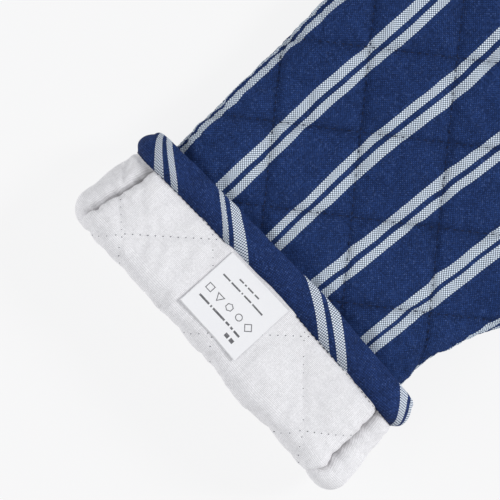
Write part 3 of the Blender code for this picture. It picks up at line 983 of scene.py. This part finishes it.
def lining_place(side, at, lining):
    """The place and normal on the turned-back lining for flat cuff coordinates, or None."""
    arc = math.pi * (FOLD_RADIUS_TOP + MIDDLE_DEPTH)
    along = FOLD_Y - arc - at.y
    if not -arc * 0.4 < along < BINDING_START - 1.5 or abs(at.x) > HALF_WRIST + 1:
        return None
    y = FOLD_Y + 0.8 + along if along > 0 else FOLD_Y - 8.7 * math.sin(-along / arc * math.pi)
    y += wander(at.x, min(1, max(0, along / TURNED_BACK)))
    return hit(lining, at.x, y, side)


def edge_distance(at):
    """Distance from a point inside the hand to its outline, or a negative number outside."""
    delta = OUTLINE_POINTS - np.array(at)
    i = int((delta ** 2).sum(1).argmin())
    distance = math.hypot(*delta[i])
    return distance if delta[i] @ OUTLINE_NORMALS[i] > 0 else -distance


def seam_stitches(name, panel, relief, runs, depth, outward, material):
    """Stitches down in the crease between the back and the palm, along runs of the panel's points."""
    stitches = Stitches()
    for run in runs:
        place = panel.face[run] + panel.into[run] * relief.depth(depth)[run, None]
        line = resample(np.column_stack([place, panel.into[run] * outward]), SEAM_STITCH)
        for before, here, after in zip(line, line[1:], line[2:]):
            normal = Vector(here[3:]).normalized()
            at = Vector(here[:3]) - normal * 0.3
            stitches.add(at, Vector(after[:3] - before[:3]), normal, *SEAM_THREAD)
    return stitches.build(name, material)


def resample(points, spacing):
    """Evenly spaced points along a line. Columns after the first three go along."""
    steps = np.sqrt((np.diff(points[:, :3], axis=0) ** 2).sum(1))
    at = np.concatenate([[0], np.cumsum(steps)])
    even = np.linspace(0, at[-1], max(3, int(at[-1] / spacing)))
    return np.column_stack([np.interp(even, at, column) for column in points.T])


def build_panels():
    """All six layers. Returns (panel, relief, outer cloth, lining) by the panel's word in node names."""
    cloth = striped_cloth("striped_cloth", (0.0135, 0.034, 0.122, 1), (0.79, 0.895, 1.0, 1))
    lining = white_cloth("white_cloth", (0.9, 0.895, 0.92, 1))
    fill = batting_fill("batting")
    made = {}
    for side, word in ((1, "back"), (-1, "palm")):
        panel = Panel(side)
        panel.faces = consistent(panel)
        relief = Relief(panel)
        y, depth = panel.cloth[:, 1], CLOTH / 2
        moved = billow(panel, relief, depth, 1, y > FOLD_Y, BODY_QUILT)
        outer = layer(f"{word}_outer_cloth", panel, relief, depth, CLOTH, striped(panel), cloth, None, moved)
        finish_piece(outer, [f"{word}_outer_panel"])
        depth = PANEL_DEPTH - CLOTH / 2
        moved = billow(panel, relief, depth, -1, y < FOLD_Y + 25, CUFF_QUILT)
        inner = layer(
            f"{word}_lining_cloth", panel, relief, depth, CLOTH, panel.cloth, lining,
            crease_shadow(panel), moved
        )
        finish_piece(inner, [f"{word}_lining"])
        thickness = (BATTING - 0.3) * np.clip(relief.share - 0.12, 0.2, 2)
        wad = layer(f"{word}_batting_fill", panel, relief, MIDDLE_DEPTH, thickness, panel.cloth, fill)
        finish_piece(wad, [f"{word}_batting"])
        made[word] = panel, relief, outer, inner
    return made


def cuff_ring(columns):
    """Places round the turned-back cuff, from the right's top round its side, below and back.

    Each is (1 or -1, angle) on the right's or left's rounded side, or (0, share of the way across)
    between them, negative below.
    """
    ring = [(1, a) for a in np.linspace(math.pi / 2, -math.pi / 2, columns)]
    ring += [(0, -k / columns) for k in range(1, columns)]
    ring += [(-1, a) for a in np.linspace(-math.pi / 2, math.pi / 2, columns)]
    ring += [(0, k / columns) for k in range(1, columns)]
    return ring


def ring_place(hand_side, angle, along, depth):
    """A point round the turned-back cuff, in the layout's millimetres."""
    if hand_side == 0:
        side = 1 if angle > 0 else -1
        left = ring_place(-1, side * math.pi / 2, along, depth)
        right = ring_place(1, side * math.pi / 2, along, depth)
        share = angle if side > 0 else 1 + angle
        return left + (right - left) * share
    offset, height, nx, nz = rim(angle)
    y, rise, dy, drise = fold_profile(angle, 1, along)
    rise += drise * depth
    x = hand_side * (HALF_WRIST + offset + rise * nx)
    return np.array([x, y + dy * depth, height + rise * nz + CUFF_SEAM_HEIGHT])


def binding_profile():
    """(along, depth, crown, distance from the seam) across the binding, from outer seam to inner."""
    over, under = PANEL_DEPTH + GAP + CLOTH / 2, -GAP - CLOTH / 2
    middle, radius = (over + under) / 2, (over - under) / 2
    profile = []
    for k in range(BINDING_ROWS + 1):
        share = k / BINDING_ROWS
        reach = BINDING_LEG * share
        along = BINDING_START + reach
        tuck = 1.8 * math.exp(-((along - BINDING_START) / 2.0) ** 2)
        profile.append((along, over - tuck, BINDING_CROWN * math.sin(math.pi * share) ** 0.8, reach))
    for k in range(1, BINDING_ROWS):
        turn = math.pi * k / BINDING_ROWS
        place = TURNED_BACK + radius * math.sin(turn), middle + radius * math.cos(turn)
        profile.append((*place, 0, BINDING_LEG + radius * turn))
    for k in range(BINDING_ROWS + 1):
        reach = BINDING_LEG * (k / BINDING_ROWS)
        profile.append((TURNED_BACK - reach, under, 0, BINDING_LEG + radius * math.pi + reach))
    return profile


def build_binding(material):
    profile = binding_profile()
    ring = cuff_ring(CUFF_COLUMNS)
    free = np.array([1.0 - float(smooth(-a, 0.3, 1.0)) if s else float(a > 0) for s, a in ring])
    middle = np.array([
        [ring_place(s, a, along, depth + crown * f) for (s, a), f in zip(ring, free)]
        for along, depth, crown, _ in profile
    ])
    leg_share = np.clip((middle[..., 1] - FOLD_Y) / TURNED_BACK, 0, 1)
    middle[..., 1] += wander(middle[..., 0], leg_share)
    rows, count = middle.shape[:2]
    coarse, fine = (noise_at(middle.reshape(-1, 3), *at).reshape(rows, count) for at in ((11, 8), (4, 9)))
    normal = surface_normals(middle)
    middle = middle + normal * ((0.35 * coarse + 0.12 * fine) * free)[..., None]
    middle[..., 2] = np.maximum(middle[..., 2], TABLE_CLEARANCE + CLOTH / 2)
    distance = np.array([at[-1] for at in profile])
    pair = (0, STRIPE, STRIPE + STRIPE_GAP, 2 * STRIPE + STRIPE_GAP)
    marks = [STRIPE_PITCH * k + m for k in range(4) for m in pair]
    slant = math.radians(BINDING_SLANT)
    cloth = np.empty((rows, count, 2))
    for r in range(rows):
        across = from_the_top(middle[r])
        share = distance[r] / (BINDING_LEG + VISIBLE_ROUND)
        edges = np.array(BINDING_SEAM) * (1 - share) + np.array(BINDING_EDGE) * share
        cloth[r, :, 0] = [interpolate(s, edges, marks) for s in across]
        cloth[r, :, 1] = across * math.cos(slant) - distance[r] * math.sin(slant)
    top, bottom = ((middle + normal * half).reshape(-1, 3) for half in (CLOTH / 2, -CLOTH / 2))
    # painted shade on the binding, darkest at its seam beside the lining
    drawn_and_painted_shade = np.exp(-np.repeat(distance, count) / 2.2)
    faces = grid_faces(rows, count, closed=True)
    obj = shell("cuff_binding_strip", top, bottom, faces, cloth.reshape(-1, 2), material, drawn_and_painted_shade)
    finish_piece(obj, ["cuff_binding"])


def from_the_top(ring):
    """Distance along a ring from its middle on top: negative to the left, positive to the right."""
    top = int(np.argmin(np.abs(ring[:, 0]) + 100 * (ring[:, 2] < CUFF_SEAM_HEIGHT)))
    turned = np.roll(ring, -top, 0)
    steps = np.sqrt(((np.roll(turned, -1, 0) - turned) ** 2).sum(1))
    way = np.concatenate([[0], np.cumsum(steps)])
    way = np.where(way > way[-1] / 2, way - way[-1], way)[:-1]
    if turned[3, 0] < turned[0, 0]:
        way = -way
    return np.roll(way + turned[0, 0], top)


def surface_normals(grid):
    """Outward normals of a closed ring of points, rows going from the outside round to the inside."""
    normal = np.cross(np.gradient(grid, axis=0), np.roll(grid, -1, 1) - np.roll(grid, 1, 1))
    normal /= np.linalg.norm(normal, axis=2, keepdims=True)
    outwards = ((grid[2] - grid.mean((0, 1))) * normal[2]).sum() > 0
    return normal if outwards else -normal


def build_label(material):
    """The sewn label: a ribbon that lies on the lining and lifts a little at its lower corners."""
    columns, rows = 75, 69
    points, cloth = [], []
    for t in np.arange(rows) / (rows - 1):
        for s in np.arange(columns) / (columns - 1):
            x = LABEL_CENTRE_X + (s - 0.5) * LABEL_WIDTH - 1.0 * t + 0.2
            along = LABEL_TOP_AT - t * LABEL_LENGTH
            lift = 0.1 + 0.4 * t ** 3 * (0.5 + abs(2 * s - 1) ** 2) + 0.18 * math.sin(5 * s + 2 * t) * t
            point = ring_place(1, math.pi / 2, along, PANEL_DEPTH + GAP + LABEL_THICKNESS / 2 + lift)
            points.append((x, point[1] + wander(x, along / TURNED_BACK), point[2]))
            cloth.append((s * LABEL_WIDTH, t * LABEL_LENGTH))
    points, cloth = np.array(points), np.array(cloth)
    grid = points.reshape(rows, columns, 3)
    normal = np.cross(np.gradient(grid, axis=1), -np.gradient(grid, axis=0))
    normal = (normal / np.linalg.norm(normal, axis=2, keepdims=True)).reshape(-1, 3)
    normal *= np.sign(normal[:, 2:3]) * LABEL_THICKNESS / 2
    faces = grid_faces(rows, columns)
    cloth = np.concatenate([cloth, cloth + (0, 2 * LABEL_LENGTH)])  # nothing is printed on the back
    obj = shell("care_label_ribbon", points + normal, points - normal, faces, cloth, material)
    finish_piece(obj, ["care_label"], "label")


def binding_seam(material):
    """The binding's stitches, in the valley beside the lining."""
    stitches = Stitches()
    line, along = [], BINDING_START - 0.3
    for s, a in cuff_ring(CUFF_COLUMNS):
        point = ring_place(s, a, along, PANEL_DEPTH - 0.9)
        point[1] += wander(point[0], along / TURNED_BACK)
        line.append(point)
    line = resample(np.array(line + line[:1]), SEAM_STITCH)
    centre = Vector(line.mean(0))
    for here, ahead in zip(map(Vector, line), map(Vector, line[1:])):
        out = here - centre
        out = Vector((out.x * 0.1, 0, out.z)).normalized()
        stitches.add(here, ahead - here, out, *SEAM_THREAD)
    obj = stitches.build("binding_seam_stitches", material)
    finish_piece(obj, ["binding_seam_thread"])


def add_camera():
    """Looks straight down on the cuff's end of the mitt, with the mitt pointing up and to the right."""
    data = bpy.data.cameras.new("camera")
    data.sensor_width = 36
    data.lens = data.sensor_width * (CAMERA_HEIGHT - CUFF_TOP) / (VIEW_WIDTH * MM)
    obj = place_in_scene("camera", data)
    right = Vector((math.cos(CAMERA_TURN), math.sin(CAMERA_TURN), 0))
    up = Vector((-right.y, right.x, 0))
    obj.matrix_world = Matrix((right, up, (0, 0, 1))).transposed().to_4x4()
    obj.location = ((VIEW_CENTRE[0] + PLACE[0]) * MM, (VIEW_CENTRE[1] + PLACE[1]) * MM, CAMERA_HEIGHT)
    bpy.context.scene.camera = obj


def add_light(name, place, size, energy):
    data = bpy.data.lights.new(name, "AREA")
    data.shape = "DISK"
    data.size = size
    data.energy = energy
    obj = place_in_scene(name, data)
    obj.location = place
    obj.rotation_euler = (-Vector(place)).to_track_quat("-Z", "Y").to_euler()


def add_stage():
    """A white light table under soft studio light."""
    bpy.ops.mesh.primitive_plane_add(size=12, location=(0, 0, -0.0005))
    floor = bpy.context.object
    floor.name = "light_table"
    s = Shader("light_table", 0.9, specular=0.0)
    s.put("Base Color", (0.08, 0.08, 0.08, 1))
    s.put("Emission Color", (0.93, 0.93, 0.935, 1))
    s.put("Emission Strength", 0.92)
    floor.data.materials.append(s.material)
    world = bpy.data.worlds.new("studio")
    bpy.context.scene.world = world
    world.use_nodes = True
    ground = world.node_tree.nodes["Background"]
    ground.inputs["Color"].default_value = (0.97, 0.98, 1.0, 1)
    ground.inputs["Strength"].default_value = 0.5
    add_light("key", (1.7, 2.4, 2.0), 1.0, 74)
    add_light("fill", (-1.2, -2.2, 1.8), 2.0, 28)
    bpy.context.scene.view_settings.view_transform = "Standard"


def main():
    made = build_panels()
    navy = thread("navy_thread", (0.006, 0.012, 0.045, 1))
    for word, (panel, _, outer, inner) in made.items():
        trees = tree_of(outer), tree_of(inner)
        obj = quilt_stitches(f"{word}_quilting_stitches", panel.side, *trees, navy)
        finish_piece(obj, [f"{word}_quilting_thread"])
    build_binding(striped_cloth("striped_binding", (0.014, 0.033, 0.12, 1), (0.8, 0.88, 0.97, 1)))
    build_label(label_ribbon("label"))
    binding_seam(navy)
    white = thread("white_thread", (0.82, 0.82, 0.84, 1))
    panel, relief = made["back"][:2]
    outer = seam_stitches("side_seam_stitches", panel, relief, [panel.hand_seam], 0.0, -1, navy)
    finish_piece(outer, ["side_seam_thread"])
    inner = seam_stitches("lining_seam_stitches", panel, relief, panel.cuff_seams, PANEL_DEPTH, 1, white)
    finish_piece(inner, ["lining_seam_thread"])
    add_camera()
    add_stage()


main()
